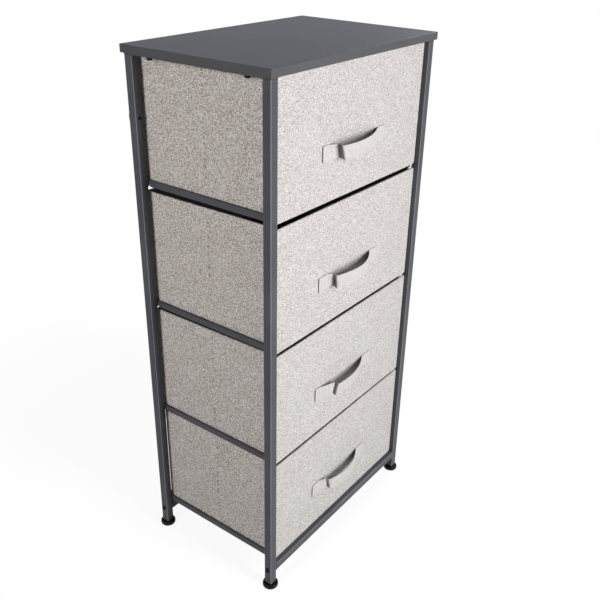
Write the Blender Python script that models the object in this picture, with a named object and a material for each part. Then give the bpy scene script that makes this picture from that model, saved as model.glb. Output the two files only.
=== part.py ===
"""Storage drawer unit: a steel frame with a board on top, and four fabric bins that slide on ledges."""
import math

import bmesh
import bpy
from mathutils import Matrix

# Lengths are in metres. X is the width, the front faces -Y, and the floor is at Z = 0.

# Clearances
SEAT_GAP = 0.0003
CUT_OVERRUN = 0.001

# Top board
BOARD_WIDTH = 0.450
BOARD_DEPTH = 0.290
BOARD_THICKNESS = 0.0125
BOARD_OVERHANG = 0.004
BOARD_EDGE_RADIUS = 0.0006

# Square steel tube of the legs and the bottom rails
TUBE_WIDTH = 0.0155
TUBE_WALL = 0.0012
TUBE_CORNER = 0.0016

# Ledges that carry the bins
LEDGE_WIDTH = 0.020
LEDGE_HEIGHT = 0.010
LEDGE_SHEET = 0.0015
LEDGE_PITCH = 0.2188
LEDGE_REAR_INSET = 0.001
NOTCH_LENGTH = 0.0025
NOTCH_HEIGHT = 0.003
TOP_BAY = 0.1996

# Strips on top of the legs, and the screws that hold the board
STRIP_THICKNESS = 0.002
SCREW_INSET = 0.047
SCREW_SHANK_RADIUS = 0.002
SCREW_HEAD_RADIUS = 0.0058
SCREW_HEAD_HEIGHT = 0.0045
SCREW_DEPTH = 0.009
SCREW_HEAD_SHARES = ((0.5, 1.0), (0.72, 0.67), (0.72, 0.33), (1.0, 0.17), (1.0, 0.0))
SCREW_CLEARANCE = 0.0003

# Bottom rails and their bolts
RAIL_HEIGHT = 0.034
BOLT_SHANK_RADIUS = 0.003
BOLT_HEAD_RADIUS = 0.0048
BOLT_HEAD_HEIGHT = 0.0028
BOLT_SOCKET_RADIUS = 0.002
BOLT_SOCKET_DEPTH = 0.0016
BOLT_HEAD_SHARES = ((0.62, 1.0), (0.88, 0.67), (1.0, 0.33), (1.0, 0.0))
BOLT_CLEARANCE = 0.0003
PLUG_CORNER = 0.0012
NUT_PLUG_LENGTH = 0.014
NUT_ENGAGEMENT = 0.011

# Bar across the back
BRACE_DROP = 0.110
BRACE_WIDTH = 0.020
BRACE_THICKNESS = 0.0015
BRACE_CORNER = 0.005
BRACE_END_INSET = 0.002
BRACE_BOLT_OVERRUN = 0.0018

# Levelling feet and the inserts that hold them
FOOT_RADIUS = 0.0143
FOOT_THICKNESS = 0.0088
FOOT_EDGE_RADIUS = 0.0032
STEM_RADIUS = 0.003
STEM_LENGTH = 0.024
STEM_CHAMFER = 0.001
STEM_CLEARANCE = 0.0003
INSERT_FLANGE = 0.001
INSERT_LENGTH = 0.018

# Drawers
DRAWER_COUNT = 4
FRONT_RECESS = 0.009
FRONT_THICKNESS = 0.0035
FRONT_SIDE_GAP = 0.001
FRONT_RAIL_GAP = 0.0008
FRONT_DROPS = (0.0156, 0.0164, 0.0168, 0.0152)
FRONT_TOP_GAPS = (0.0029, 0.0082, 0.0062, 0.0055)
FRONT_LOWER_CORNER = 0.006
FRONT_UPPER_CORNER = 0.002
FRONT_EDGE_RADIUS = 0.0011
BIN_LEG_GAP = 0.0045
BIN_WALL = 0.003
BIN_FLOOR = 0.002
BIN_TOP_GAPS = (0.0016, 0.0041, 0.0018, 0.0012)
BIN_REAR_INSETS = (0.0095, 0.0095, 0.0095, 0.0112)
BIN_CORNER = 0.004
BIN_LIP_DROP = 0.004
BIN_LIP_INSET = 0.008
CREASE_WIDTH = 0.006
CREASE_DEPTH = 0.0008
BASE_THICKNESS = 0.003
BASE_CLEARANCE = 0.001

# Strap pulls
STRAP_HEIGHT = 0.025
STRAP_THICKNESS = 0.0018
STRAP_HALF_LENGTH = 0.088
STRAP_TOP_RISES = (0.0781, 0.0773, 0.0798, 0.0808)
STRAP_RISERS = (-0.055, -0.054, -0.045, -0.046)
STRAP_PEAKS = (-0.021, -0.006, -0.016, -0.006)
STRAP_BULGES = (0.0228, 0.0228, 0.0212, 0.0214)
STRAP_RISING_HALVES = (0.088, 0.083, 0.105, 0.072)
STRAP_FALLING_HALVES = (0.087, 0.070, 0.078, 0.067)
STRAP_FOLD_RADIUS = 0.0018
STRAP_SHOULDER_RADIUS = 0.0035
STRAP_RETURN_RADIUS = 0.007
STRAP_ARCH_STEPS = 14

# Segments of curves
CORNER_STEPS = 3
EDGE_STEPS = 4
FOOT_SEGMENTS = 24
FASTENER_SEGMENTS = 16

# Colour, roughness and metallic value of each finish
BOARD_LOOK = ((0.11, 0.13, 0.15), 0.45)
FRAME_LOOK = ((0.075, 0.08, 0.09), 0.4, 0.3)
BLACK_METAL_LOOK = ((0.015, 0.015, 0.016), 0.35, 0.6)
PLASTIC_LOOK = ((0.012, 0.012, 0.012), 0.5)
FRONT_LOOK = ((0.73, 0.70, 0.67), 0.9)
BIN_LOOK = ((0.635, 0.585, 0.55), 0.9)
BASE_LOOK = ((0.55, 0.50, 0.45), 0.85)

# Places worked out from the sizes above
FRAME_WIDTH = BOARD_WIDTH - 2 * BOARD_OVERHANG
FRAME_DEPTH = BOARD_DEPTH - 2 * BOARD_OVERHANG
LEG_X = FRAME_WIDTH / 2 - TUBE_WIDTH / 2
LEG_Y = FRAME_DEPTH / 2 - TUBE_WIDTH / 2
LEG_INNER_X = LEG_X - TUBE_WIDTH / 2
LEG_BOTTOM = FOOT_THICKNESS + INSERT_FLANGE + 2 * SEAT_GAP
TUBE_HOLLOW = TUBE_WIDTH - 2 * TUBE_WALL
RAIL_MIDDLE = RAIL_HEIGHT + TUBE_WIDTH / 2
LOWEST_LEDGE = RAIL_HEIGHT + TUBE_WIDTH + FRONT_RAIL_GAP + FRONT_DROPS[-1]
LEDGE_TOPS = [LOWEST_LEDGE + LEDGE_PITCH * (DRAWER_COUNT - 1 - k) for k in range(DRAWER_COUNT)]
BOARD_UNDERSIDE = LEDGE_TOPS[0] + TOP_BAY
STRIP_UNDERSIDE = BOARD_UNDERSIDE - SEAT_GAP - STRIP_THICKNESS
LEG_TOP = STRIP_UNDERSIDE - SEAT_GAP
TOTAL_HEIGHT = BOARD_UNDERSIDE + BOARD_THICKNESS
BRACE_MIDDLE = TOTAL_HEIGHT - BRACE_DROP
SCREW_Y = FRAME_DEPTH / 2 - SCREW_INSET
FRONT_FACE = -FRAME_DEPTH / 2 + FRONT_RECESS
FRONT_BACK = FRONT_FACE + FRONT_THICKNESS
FRONT_HALF_WIDTH = LEG_INNER_X - FRONT_SIDE_GAP
BIN_HALF_WIDTH = LEG_INNER_X - BIN_LEG_GAP
BIN_FRONT = FRONT_BACK + SEAT_GAP
FRONT_REACH = -FRONT_FACE + SEAT_GAP + max(STRAP_BULGES) + STRAP_THICKNESS
BRACE_BOLT_REACH = FRAME_DEPTH / 2 + SEAT_GAP + BRACE_THICKNESS + SEAT_GAP + BOLT_HEAD_HEIGHT
BACK_REACH = max(LEG_Y + FOOT_RADIUS, BRACE_BOLT_REACH)
UNIT_SHIFT = (FRONT_REACH - BACK_REACH) / 2

SIDES = (("left", -1), ("right", 1))
ENDS = (("front", -1), ("rear", 1))
CORNERS = [side + end for side in SIDES for end in ENDS]


def front_bottom(index):
    """Height of a drawer front's lower edge."""
    return LEDGE_TOPS[index] - FRONT_DROPS[index]


def ceiling(index):
    """Height of what lies above a drawer: the board, or the lower edge of the front above."""
    return front_bottom(index - 1) if index else BOARD_UNDERSIDE


def front_top(index):
    """Height of a drawer front's upper edge."""
    return ceiling(index) - FRONT_TOP_GAPS[index]


def make_material(name, colour, roughness, metallic=0.0):
    """A Principled material."""
    material = bpy.data.materials.new(name)
    material.use_nodes = True
    shader = material.node_tree.nodes["Principled BSDF"]
    shader.inputs["Base Color"].default_value = (*colour, 1.0)
    shader.inputs["Roughness"].default_value = roughness
    shader.inputs["Metallic"].default_value = metallic
    material.diffuse_color = (*colour, 1.0)
    return material


def make_empty(name, location, parent=None):
    """An empty that carries a group of pieces."""
    empty = bpy.data.objects.new(name, None)
    bpy.context.scene.collection.objects.link(empty)
    empty.location = location
    empty.parent = parent
    return empty


def finish_object(name, mesh, look, parent, location=(0, 0, 0), smooth=False):
    """Turns a bmesh into a named object with a material of its own."""
    bmesh.ops.recalc_face_normals(mesh, faces=mesh.faces)
    data = bpy.data.meshes.new(name)
    mesh.to_mesh(data)
    mesh.free()
    if smooth:
        data.shade_smooth()
        data.set_sharp_from_angle(angle=math.radians(35))
    piece = bpy.data.objects.new(name, data)
    bpy.context.scene.collection.objects.link(piece)
    if look:
        data.materials.append(make_material(name, *look))
    piece.parent = parent
    piece.location = location
    return piece


def arc(centre, radius, start, sweep, steps):
    """Points along an arc."""
    angles = [start + sweep * step / steps for step in range(steps + 1)]
    return [(centre[0] + radius * math.cos(angle), centre[1] + radius * math.sin(angle)) for angle in angles]


def rounded_outline(width, depth, radii, steps=CORNER_STEPS):
    """Outline of a rectangle about the origin. Radii start at the lower left corner and run anticlockwise."""
    corners = ((-1, -1, math.pi), (1, -1, 1.5 * math.pi), (1, 1, 0.0), (-1, 1, 0.5 * math.pi))
    points = []
    for (side, end, start), radius in zip(corners, radii):
        centre = (side * (width / 2 - radius), end * (depth / 2 - radius))
        points += arc(centre, radius, start, math.pi / 2, steps)
    return points


def round_outline(radius, segments=FASTENER_SEGMENTS, start=0.0):
    """Outline of a circle about the origin."""
    turns = [start + 2 * math.pi * step / segments for step in range(segments)]
    return [(radius * math.cos(angle), radius * math.sin(angle)) for angle in turns]


def add_ring(mesh, outline, height):
    """Vertices of one outline at a height."""
    return [mesh.verts.new((x, y, height)) for x, y in outline]


def bridge(mesh, lower, upper):
    """Side faces between two rings with as many points as each other."""
    count = len(lower)
    for index in range(count):
        following = (index + 1) % count
        mesh.faces.new((lower[index], lower[following], upper[following], upper[index]))


def ring_solid(rings, cyclic):
    """A closed solid through rings of (outline, height), which run round a bore or end in flat caps."""
    mesh = bmesh.new()
    loops = [add_ring(mesh, outline, height) for outline, height in rings]
    for lower, upper in zip(loops, loops[1:]):
        bridge(mesh, lower, upper)
    if cyclic:
        bridge(mesh, loops[-1], loops[0])
    else:
        mesh.faces.new(loops[0])
        mesh.faces.new(loops[-1])
    return mesh


def prism(outline, bottom, top):
    """A closed prism from an outline in XY."""
    return ring_solid([(outline, bottom), (outline, top)], cyclic=False)


def drill(radius, length):
    """A round cutter along Z from the origin."""
    return prism(round_outline(radius), 0, length)


def lathe(profile, segments=FASTENER_SEGMENTS):
    """A closed solid of revolution about Z from (radius, height) points that start and end on the axis."""
    mesh = bmesh.new()
    rings = []
    for radius, height in profile[1:-1]:
        ring = []
        for step in range(segments):
            angle = 2 * math.pi * step / segments
            ring.append(mesh.verts.new((radius * math.cos(angle), radius * math.sin(angle), height)))
        rings.append(ring)
    for lower, upper in zip(rings, rings[1:]):
        bridge(mesh, lower, upper)
    for ring, (_, height) in ((rings[0], profile[0]), (rings[-1], profile[-1])):
        tip = mesh.verts.new((0, 0, height))
        for index in range(segments):
            mesh.faces.new((ring[index], ring[(index + 1) % segments], tip))
    return mesh


def box_mesh(size):
    """A box about the origin."""
    x, y, z = [length / 2 for length in size]
    return prism([(-x, -y), (x, -y), (x, y), (-x, y)], -z, z)


def moved(mesh, matrix):
    """The same bmesh, moved and turned."""
    bmesh.ops.transform(mesh, matrix=matrix, verts=mesh.verts)
    return mesh


def place(x, y, z, turn=0.0, axis="Z"):
    """A matrix that turns about an axis and then moves."""
    return Matrix.Translation((x, y, z)) @ Matrix.Rotation(turn, 4, axis)


def cut(piece, mesh):
    """Cuts one closed solid out of a piece."""
    cutter = finish_object(piece.name + "_cutter", mesh, None, piece.parent, piece.location)
    cutter.hide_render = True
    cutter.display_type = "WIRE"
    modifier = piece.modifiers.new("Cut", "BOOLEAN")
    modifier.object = cutter
    modifier.operation = "DIFFERENCE"
    modifier.solver = "EXACT"


def square_tube(length):
    """The steel tube, upright, from the origin up."""
    outer = rounded_outline(TUBE_WIDTH, TUBE_WIDTH, [TUBE_CORNER] * 4)
    inner = rounded_outline(TUBE_HOLLOW, TUBE_HOLLOW, [TUBE_CORNER - TUBE_WALL] * 4)
    return ring_solid([(outer, 0), (outer, length), (inner, length), (inner, 0)], cyclic=True)


def bolt_mesh(shank_length):
    """A button head bolt. Its seat is at the origin, its head below and its shank up."""
    floor = BOLT_SOCKET_DEPTH - BOLT_HEAD_HEIGHT
    profile = [(0, floor), (BOLT_SOCKET_RADIUS, floor), (BOLT_SOCKET_RADIUS, -BOLT_HEAD_HEIGHT)]
    profile += [(BOLT_HEAD_RADIUS * across, -BOLT_HEAD_HEIGHT * down) for across, down in BOLT_HEAD_SHARES]
    profile += [(BOLT_SHANK_RADIUS, 0), (BOLT_SHANK_RADIUS, shank_length), (0, shank_length)]
    return lathe(profile)


def screw_mesh():
    """A flanged screw. Its seat is at the origin, its head below and its shank up."""
    length = STRIP_THICKNESS + 2 * SEAT_GAP + SCREW_DEPTH
    profile = [(0, -SCREW_HEAD_HEIGHT)]
    profile += [(SCREW_HEAD_RADIUS * across, -SCREW_HEAD_HEIGHT * down) for across, down in SCREW_HEAD_SHARES]
    profile += [(SCREW_SHANK_RADIUS, 0), (SCREW_SHANK_RADIUS, length - SCREW_SHANK_RADIUS), (0, length)]
    return lathe(profile)


def plug_rings(bore_radius, flange):
    """Rings of a square plug for a tube's end, bored for a bolt or a stem, from the origin up."""
    width = TUBE_HOLLOW - 2 * SEAT_GAP
    bore = round_outline(bore_radius, start=math.pi + math.pi / FASTENER_SEGMENTS)
    steps = FASTENER_SEGMENTS // 4 - 1
    body = rounded_outline(width, width, [PLUG_CORNER] * 4, steps)
    if not flange:
        return [(body, 0), (body, NUT_PLUG_LENGTH), (bore, NUT_PLUG_LENGTH), (bore, 0)]
    lip = rounded_outline(TUBE_WIDTH, TUBE_WIDTH, [TUBE_CORNER] * 4, steps)
    top = INSERT_FLANGE + INSERT_LENGTH
    return [(lip, 0), (lip, INSERT_FLANGE), (body, INSERT_FLANGE), (body, top), (bore, top), (bore, 0)]


def add_board(unit):
    """The laminated board on top, with pilot holes for its screws."""
    size = (BOARD_WIDTH, BOARD_DEPTH, BOARD_THICKNESS)
    middle = (0, 0, BOARD_UNDERSIDE + BOARD_THICKNESS / 2)
    board = finish_object("top_board", box_mesh(size), BOARD_LOOK, unit, middle)
    edges = board.modifiers.new("Edges", "BEVEL")
    edges.width = BOARD_EDGE_RADIUS
    edges.segments = 2
    low = -BOARD_THICKNESS / 2 - CUT_OVERRUN
    depth = SCREW_DEPTH + CUT_OVERRUN + SCREW_CLEARANCE
    for _, side, _, end in CORNERS:
        hole = drill(SCREW_SHANK_RADIUS + SCREW_CLEARANCE, depth)
        cut(board, moved(hole, place(side * LEG_X, end * SCREW_Y, low)))


def add_legs(unit):
    """Four square tubes, with holes for the rail bolts and, at the rear, for the brace's bolts."""
    radius = BOLT_SHANK_RADIUS + BOLT_CLEARANCE
    length = TUBE_WIDTH + 2 * CUT_OVERRUN
    for side_name, side, end_name, end in CORNERS:
        name = f"{end_name}_{side_name}_leg"
        foot = (side * LEG_X, end * LEG_Y, LEG_BOTTOM)
        leg = finish_object(name, square_tube(LEG_TOP - LEG_BOTTOM), FRAME_LOOK, unit, foot, smooth=True)
        across = place(-length / 2, 0, RAIL_MIDDLE - LEG_BOTTOM, math.pi / 2, "Y")
        cut(leg, moved(drill(radius, length), across))
        if end_name == "rear":
            through = place(0, -length / 2, BRACE_MIDDLE - LEG_BOTTOM, -math.pi / 2, "X")
            cut(leg, moved(drill(radius, length), through))


def add_ledges(unit):
    """Angles along the legs' inner faces, whose flat upper sides carry the bins."""
    outer = LEG_INNER_X - SEAT_GAP
    inner = outer - LEDGE_WIDTH
    web = outer - LEDGE_SHEET
    front = BIN_FRONT
    rear = FRAME_DEPTH / 2 - LEDGE_REAR_INSET
    profile = [(outer, -LEDGE_HEIGHT), (outer, 0), (inner, 0), (inner, -LEDGE_SHEET)]
    profile += [(web, -LEDGE_SHEET), (web, -LEDGE_HEIGHT)]
    leg_face = FRAME_DEPTH / 2 - TUBE_WIDTH
    for side_name, side in SIDES:
        for index in range(DRAWER_COUNT):
            outline = [(side * x, z) for x, z in profile]
            mesh = moved(prism(outline, -rear, -front), place(0, 0, 0, math.pi / 2, "X"))
            name = f"{side_name}_ledge_{index + 1}"
            ledge = finish_object(name, mesh, FRAME_LOOK, unit, (0, 0, LEDGE_TOPS[index]))
            notch = box_mesh((2 * LEDGE_SHEET + 2 * CUT_OVERRUN, NOTCH_LENGTH, NOTCH_HEIGHT + CUT_OVERRUN))
            low = -LEDGE_HEIGHT + (NOTCH_HEIGHT - CUT_OVERRUN) / 2
            cut(ledge, moved(notch, place(side * web, leg_face - NOTCH_LENGTH / 2, low)))


def add_strips(unit):
    """Flat bars on top of the legs, which the board is screwed to."""
    for side_name, side in SIDES:
        size = (TUBE_WIDTH, FRAME_DEPTH, STRIP_THICKNESS)
        middle = (side * LEG_X, 0, STRIP_UNDERSIDE + STRIP_THICKNESS / 2)
        strip = finish_object(f"{side_name}_top_strip", box_mesh(size), FRAME_LOOK, unit, middle)
        length = STRIP_THICKNESS + 2 * CUT_OVERRUN
        radius = SCREW_SHANK_RADIUS + SCREW_CLEARANCE
        for _, end in ENDS:
            cut(strip, moved(drill(radius, length), place(0, end * SCREW_Y, -length / 2)))


def add_board_screws(unit):
    """The screws that come up through the strips into the board."""
    for side_name, side, end_name, end in CORNERS:
        seat = (side * LEG_X, end * SCREW_Y, STRIP_UNDERSIDE - SEAT_GAP)
        name = f"{end_name}_{side_name}_board_screw"
        finish_object(name, screw_mesh(), BLACK_METAL_LOOK, unit, seat, smooth=True)


def add_bottom_rails(unit):
    """Square tubes between the legs at front and rear, the nut plugs in their ends, and their bolts."""
    length = 2 * (LEG_INNER_X - SEAT_GAP)
    for end_name, end in ENDS:
        mesh = moved(square_tube(length), place(-length / 2, 0, 0, math.pi / 2, "Y"))
        middle = (0, end * LEG_Y, RAIL_MIDDLE)
        finish_object(f"{end_name}_bottom_rail", mesh, FRAME_LOOK, unit, middle, smooth=True)
    for side_name, side, end_name, end in CORNERS:
        inward = place(0, 0, 0, -side * math.pi / 2, "Y")
        corner = f"{end_name}_{side_name}"
        mouth = (side * length / 2, end * LEG_Y, RAIL_MIDDLE)
        rings = plug_rings(BOLT_SHANK_RADIUS + BOLT_CLEARANCE, flange=False)
        plug = moved(ring_solid(rings, cyclic=True), inward)
        finish_object(f"{corner}_nut_plug", plug, PLASTIC_LOOK, unit, mouth, smooth=True)
        seat = (side * (FRAME_WIDTH / 2 + SEAT_GAP), end * LEG_Y, RAIL_MIDDLE)
        bolt = moved(bolt_mesh(TUBE_WIDTH + 2 * SEAT_GAP + NUT_ENGAGEMENT), inward)
        finish_object(f"{corner}_rail_bolt", bolt, BLACK_METAL_LOOK, unit, seat, smooth=True)


def add_rear_brace(unit):
    """A flat bar across the back, bolted through the rear legs."""
    face = FRAME_DEPTH / 2 + SEAT_GAP
    width = FRAME_WIDTH - 2 * BRACE_END_INSET
    outline = rounded_outline(width, BRACE_WIDTH, [BRACE_CORNER] * 4)
    mesh = moved(prism(outline, 0, BRACE_THICKNESS), place(0, BRACE_THICKNESS, 0, math.pi / 2, "X"))
    brace = finish_object("rear_brace", mesh, FRAME_LOOK, unit, (0, face, BRACE_MIDDLE))
    length = BRACE_THICKNESS + 2 * CUT_OVERRUN
    radius = BOLT_SHANK_RADIUS + BOLT_CLEARANCE
    shank = BRACE_THICKNESS + 2 * SEAT_GAP + TUBE_WIDTH + BRACE_BOLT_OVERRUN
    for side_name, side in SIDES:
        backward = place(side * LEG_X, -CUT_OVERRUN, 0, -math.pi / 2, "X")
        cut(brace, moved(drill(radius, length), backward))
        bolt = moved(bolt_mesh(shank), place(0, 0, 0, math.pi / 2, "X"))
        seat = (side * LEG_X, face + BRACE_THICKNESS + SEAT_GAP, BRACE_MIDDLE)
        finish_object(f"{side_name}_brace_bolt", bolt, BLACK_METAL_LOOK, unit, seat, smooth=True)


def add_feet(unit):
    """Inserts in the legs' lower ends, and the levelling feet whose stems go up through them."""
    edge = FOOT_EDGE_RADIUS
    tip = FOOT_THICKNESS + STEM_LENGTH
    lower_edge = arc((FOOT_RADIUS - edge, edge), edge, -math.pi / 2, math.pi / 2, EDGE_STEPS)
    upper_edge = arc((FOOT_RADIUS - edge, FOOT_THICKNESS - edge), edge, 0, math.pi / 2, EDGE_STEPS)
    profile = [(0, 0)] + lower_edge + upper_edge + [(STEM_RADIUS, FOOT_THICKNESS)]
    profile += [(STEM_RADIUS, tip - STEM_CHAMFER), (STEM_RADIUS - STEM_CHAMFER, tip), (0, tip)]
    for side_name, side, end_name, end in CORNERS:
        corner = f"{end_name}_{side_name}"
        low = (side * LEG_X, end * LEG_Y, FOOT_THICKNESS + SEAT_GAP)
        insert = ring_solid(plug_rings(STEM_RADIUS + STEM_CLEARANCE, flange=True), cyclic=True)
        finish_object(f"{corner}_insert", insert, PLASTIC_LOOK, unit, low, smooth=True)
        axis = make_empty(f"{corner}_foot_travel", (side * LEG_X, end * LEG_Y, 0), unit)
        finish_object(f"{corner}_foot", lathe(profile, FOOT_SEGMENTS), PLASTIC_LOOK, axis, smooth=True)


def bin_rear(index):
    """How far back a bin reaches."""
    return FRAME_DEPTH / 2 - BIN_REAR_INSETS[index]


def bin_outline(index, inset):
    """Plan of a bin's wall at an inset from its outer face, with a fold line halfway along each side."""
    half = BIN_HALF_WIDTH - inset
    front = BIN_FRONT + inset
    rear = bin_rear(index) - inset
    middle = (front + rear) / 2
    radius = BIN_CORNER - inset
    reach = CREASE_WIDTH / 2
    fold = [(half, middle - reach), (half - CREASE_DEPTH, middle), (half, middle + reach)]
    corner = arc((half - radius, rear - radius), radius, 0, math.pi / 2, CORNER_STEPS)
    right = [(half, front)] + fold + corner
    left = [(-x, y) for x, y in reversed(right)]
    return right + left


def add_bin(name, index, carrier):
    """The bin's fabric body, lower behind the front board, and the loose board in its bottom."""
    low = LEDGE_TOPS[index] + SEAT_GAP
    high = ceiling(index) - BIN_TOP_GAPS[index]
    outer = bin_outline(index, 0)
    inner = bin_outline(index, BIN_WALL)
    rings = [(outer, low), (outer, high), (inner, high), (inner, low + BIN_FLOOR)]
    body = finish_object(f"{name}_bin", ring_solid(rings, cyclic=False), BIN_LOOK, carrier)
    opening = 2 * (BIN_HALF_WIDTH - BIN_LIP_INSET)
    lip = box_mesh((opening, BIN_WALL + 2 * CUT_OVERRUN, BIN_LIP_DROP + CUT_OVERRUN))
    lip_height = high - (BIN_LIP_DROP - CUT_OVERRUN) / 2
    cut(body, moved(lip, place(0, BIN_FRONT + BIN_WALL / 2, lip_height)))
    margin = BIN_WALL + BASE_CLEARANCE
    width = 2 * (BIN_HALF_WIDTH - margin - CREASE_DEPTH)
    depth = bin_rear(index) - BIN_FRONT - 2 * margin
    middle = (0, (BIN_FRONT + bin_rear(index)) / 2, low + BIN_FLOOR + SEAT_GAP + BASE_THICKNESS / 2)
    finish_object(f"{name}_base_board", box_mesh((width, depth, BASE_THICKNESS)), BASE_LOOK, carrier, middle)


def add_front(name, index, carrier):
    """The covered front board, with its lower corners rounded where the fabric is folded in."""
    low = front_bottom(index)
    high = front_top(index)
    radii = [FRONT_LOWER_CORNER] * 2 + [FRONT_UPPER_CORNER] * 2
    outline = rounded_outline(2 * FRONT_HALF_WIDTH, high - low, radii)
    mesh = moved(prism(outline, -FRONT_BACK, -FRONT_FACE), place(0, 0, 0, math.pi / 2, "X"))
    front = finish_object(f"{name}_front", mesh, FRONT_LOOK, carrier, (0, 0, (low + high) / 2))
    edges = front.modifiers.new("Edges", "BEVEL")
    edges.width = FRONT_EDGE_RADIUS
    edges.segments = 2
    edges.limit_method = "ANGLE"
    edges.angle_limit = math.radians(60)


def filleted(corners):
    """A path through (x, y, radius) corners, with an arc at each corner that has a radius."""
    path = [corners[0][:2]]
    for before, here, after in zip(corners, corners[1:], corners[2:]):
        x, y, radius = here
        if radius == 0:
            path.append((x, y))
            continue
        back = math.atan2(before[1] - y, before[0] - x)
        ahead = math.atan2(after[1] - y, after[0] - x)
        spread = (ahead - back + math.pi) % (2 * math.pi) - math.pi
        reach = radius / math.tan(abs(spread) / 2)
        bisector = back + spread / 2
        from_corner = radius / math.sin(abs(spread) / 2)
        centre = (x + from_corner * math.cos(bisector), y + from_corner * math.sin(bisector))
        start = (x + reach * math.cos(back), y + reach * math.sin(back))
        first = math.atan2(start[1] - centre[1], start[0] - centre[0])
        sweep = math.copysign(math.pi - abs(spread), -spread)
        path += arc(centre, radius, first, sweep, CORNER_STEPS)
    path.append(corners[-1][:2])
    return path


def strap_path(index):
    """Plan of the strap's middle line: (along the front, out from the front), with its fold at the riser."""
    riser = STRAP_RISERS[index]
    peak = STRAP_PEAKS[index]
    end = peak + STRAP_FALLING_HALVES[index]

    def bulge(x):
        half = STRAP_RISING_HALVES[index] if x < peak else STRAP_FALLING_HALVES[index]
        return STRAP_BULGES[index] * (1 - ((x - peak) / half) ** 2)

    corners = [(-STRAP_HALF_LENGTH, 0, 0), (riser, 0, STRAP_FOLD_RADIUS)]
    corners.append((riser, bulge(riser), STRAP_SHOULDER_RADIUS))
    for step in range(1, STRAP_ARCH_STEPS):
        x = riser + (end - riser) * step / STRAP_ARCH_STEPS
        corners.append((x, bulge(x), 0))
    corners += [(end, 0, STRAP_RETURN_RADIUS), (STRAP_HALF_LENGTH, 0, 0)]
    return filleted(corners)


def thickened(path, thickness):
    """The closed outline of a strip that follows a path."""
    headings = [math.atan2(y2 - y1, x2 - x1) for (x1, y1), (x2, y2) in zip(path, path[1:])]
    headings = [headings[0]] + headings + [headings[-1]]
    right = []
    left = []
    for (x, y), first, last in zip(path, headings, headings[1:]):
        turn = (last - first + math.pi) % (2 * math.pi) - math.pi
        normal = first + turn / 2 + math.pi / 2
        reach = thickness / 2 / math.cos(turn / 2)
        left.append((x + reach * math.cos(normal), y + reach * math.sin(normal)))
        right.append((x - reach * math.cos(normal), y - reach * math.sin(normal)))
    return right + left[::-1]


def add_pull(name, index, carrier):
    """The strap pull, sewn to the front at both ends and arched between them."""
    outline = [(x, -y) for x, y in thickened(strap_path(index), STRAP_THICKNESS)]
    top = LEDGE_TOPS[index] + STRAP_TOP_RISES[index]
    face = FRONT_FACE - SEAT_GAP - STRAP_THICKNESS / 2
    mesh = prism(outline, -STRAP_HEIGHT, 0)
    finish_object(f"{name}_pull", mesh, FRONT_LOOK, carrier, (0, face, top), smooth=True)


def add_drawers(unit):
    """Four drawers, each a front, a bin, a base board and a pull that slide together."""
    for index in range(DRAWER_COUNT):
        name = f"drawer_{index + 1}"
        carrier = make_empty(f"{name}_slide", (0, 0, 0), unit)
        add_front(name, index, carrier)
        add_bin(name, index, carrier)
        add_pull(name, index, carrier)


def main():
    for item in list(bpy.data.objects):
        bpy.data.objects.remove(item, do_unlink=True)
    unit = make_empty("storage_drawer_unit", (0, UNIT_SHIFT, 0))
    add_board(unit)
    add_legs(unit)
    add_ledges(unit)
    add_strips(unit)
    add_board_screws(unit)
    add_bottom_rails(unit)
    add_rear_brace(unit)
    add_feet(unit)
    add_drawers(unit)


main()
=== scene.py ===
"""Looks of the storage drawer unit: linen-covered drawers in a powder-coated steel frame."""
import math

import bmesh
import bpy
from mathutils import Matrix, Vector, noise


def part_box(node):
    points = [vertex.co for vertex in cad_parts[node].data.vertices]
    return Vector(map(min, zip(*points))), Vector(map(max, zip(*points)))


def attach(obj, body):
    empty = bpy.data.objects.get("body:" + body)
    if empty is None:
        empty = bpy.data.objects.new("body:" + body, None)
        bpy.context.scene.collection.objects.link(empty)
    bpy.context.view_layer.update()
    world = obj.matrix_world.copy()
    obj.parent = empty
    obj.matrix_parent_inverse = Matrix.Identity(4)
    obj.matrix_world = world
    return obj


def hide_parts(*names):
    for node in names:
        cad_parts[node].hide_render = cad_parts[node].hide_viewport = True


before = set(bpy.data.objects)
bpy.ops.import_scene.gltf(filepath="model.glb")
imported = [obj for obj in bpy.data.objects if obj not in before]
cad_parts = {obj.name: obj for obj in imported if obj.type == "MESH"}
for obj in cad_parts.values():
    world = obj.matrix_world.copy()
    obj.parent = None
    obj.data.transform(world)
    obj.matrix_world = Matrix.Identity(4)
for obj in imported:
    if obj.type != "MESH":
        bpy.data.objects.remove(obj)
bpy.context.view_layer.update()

# Lengths are in metres, and angles in degrees unless a comment says radians.
# X is the width, and the front faces -Y.

CORNERS = [f"{end}_{side}" for end in ("front", "rear") for side in ("left", "right")]
DRAWERS = range(1, 5)

# Camera, from the photograph's perspective
CAMERA_PLACE = (-1.0201, -0.7832, 1.1269)
CAMERA_TURN = (62.664, -1.176, -53.276)
CAMERA_LENS = 46.557
CAMERA_SHIFT = (-0.0094, 0.0032)
SENSOR_WIDTH = 36.0

# Lamps: (name, place, aim, width, height, watts)
LAMPS = (
    ("key", (0.06, -3.2, 1.3), (0.0, 0.0, 0.8), 0.8, 1.8, 67),
    ("fill", (-0.24, -1.2, 0.75), (-0.06, -0.12, 0.65), 0.06, 0.8, 4.4),
    ("side", (-2.3, 0.2, 1.3), (0.0, 0.0, 0.7), 0.5, 1.2, 24),
    ("top", (1.15, 0.0, 1.38), (0.1, 0.0, 0.9), 0.5, 0.6, 8.5),
)
WORLD_STRENGTH = 0.04


# Helpers for meshes and shader nodes

FLAT_ANGLE = 40
TURNED_ANGLE = 35
COVER_ANGLE = 50
BIN_ANGLE = 38
STRAP_ANGLE = 60


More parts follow.
